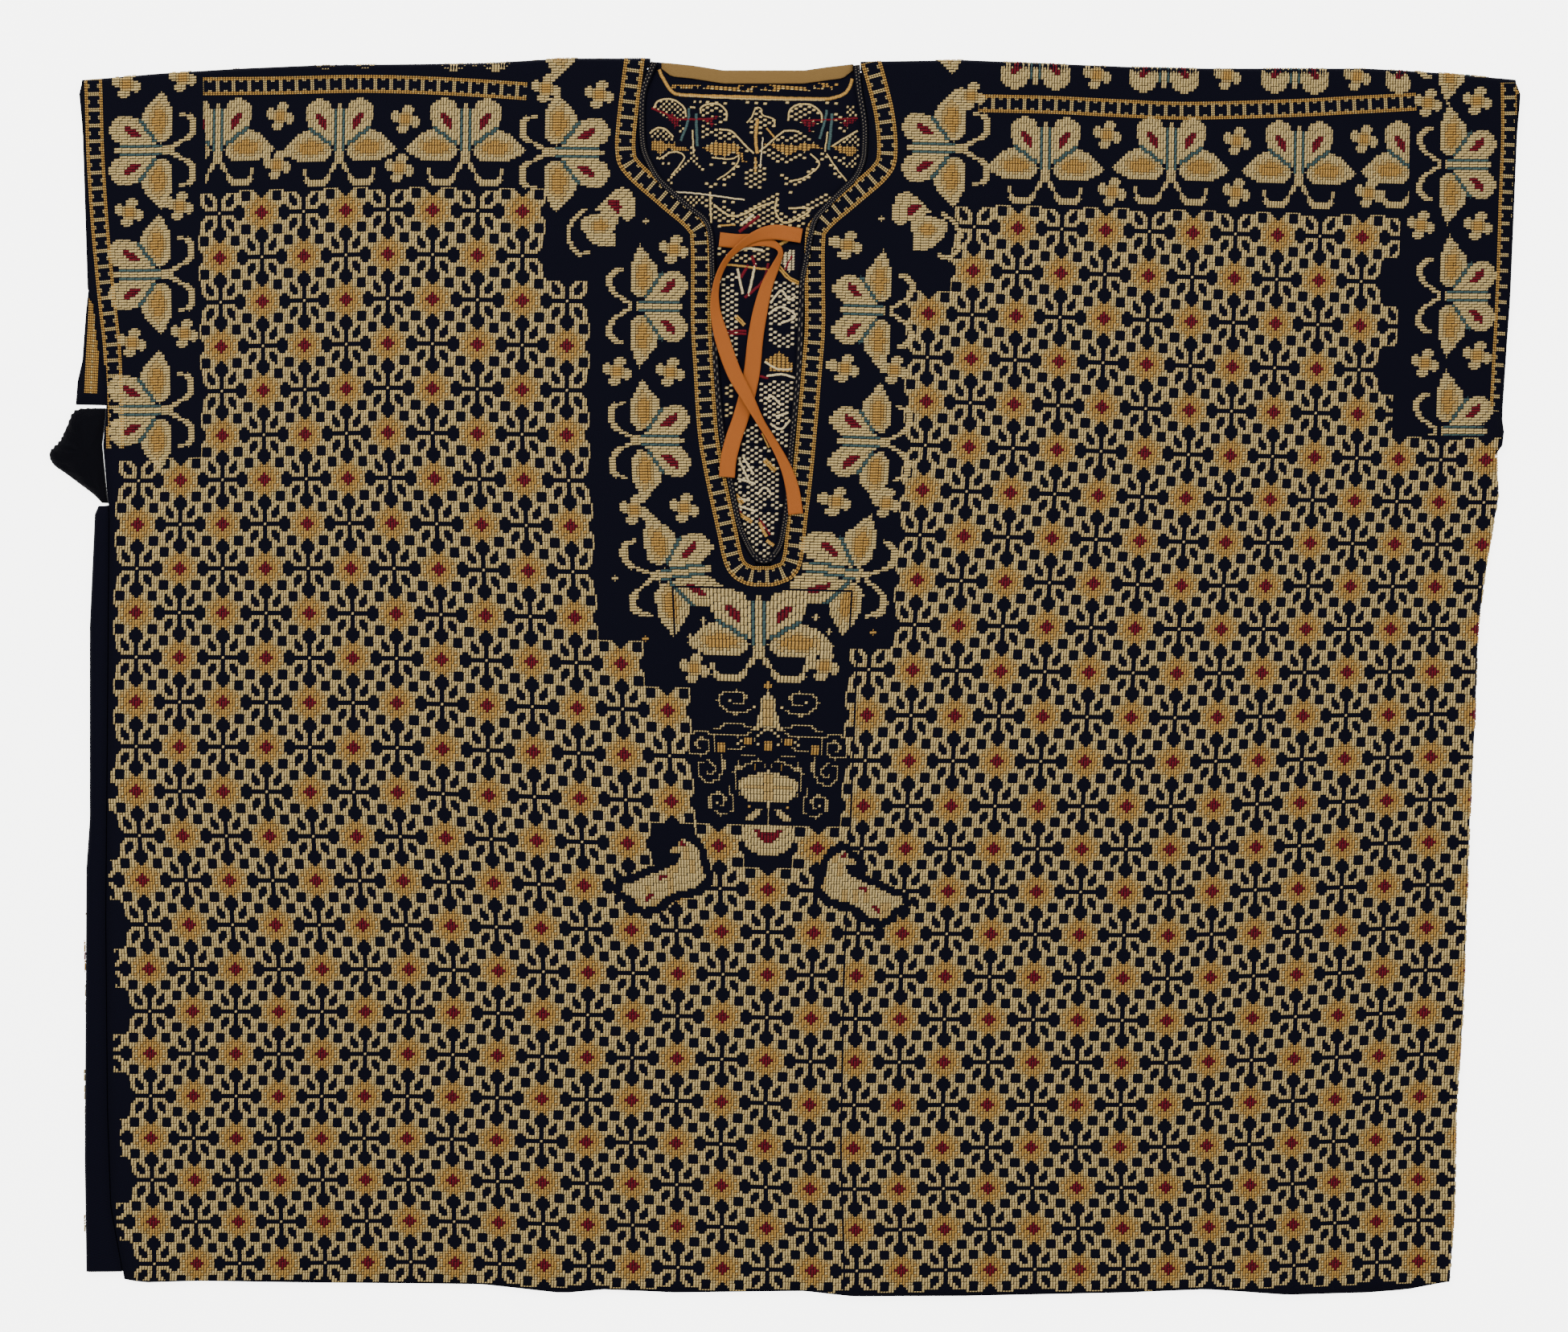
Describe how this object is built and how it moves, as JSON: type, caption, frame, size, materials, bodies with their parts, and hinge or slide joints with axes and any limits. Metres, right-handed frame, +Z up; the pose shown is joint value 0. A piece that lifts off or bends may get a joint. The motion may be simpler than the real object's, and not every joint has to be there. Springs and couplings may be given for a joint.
{
  "type": "tunic",
  "caption": "Short-sleeved pullover tunic laid flat on its back, with a deep slit neck, loose ribbon ties and dense cross-stitch embroidery.",
  "frame": {"origin": "middle of the garment's box, on the surface that it lies on", "axes": "+X to the viewer's right across the garment, +Y from hem to neck, +Z up off the surface"},
  "size_m": [0.877, 0.738, 0.0086],
  "materials": {
    "navy_cotton": "dark navy plain-weave cotton, matt",
    "thread": "cream, gold, red and blue-green cotton embroidery thread, matt",
    "binding": "grey-brown cotton binding with a stitched line, matt",
    "tape": "tan twill tape, matt",
    "ribbon": "rust orange ribbon, soft sheen"
  },
  "bodies": {
    "root": {"front_panel": "navy_cotton", "back_panel": "navy_cotton", "underarm_gusset": "navy_cotton", "neck_binding": "binding", "back_neck_tape": "tape", "right_tie": "ribbon", "left_tie": "ribbon"}
  },
  "joints": []
}
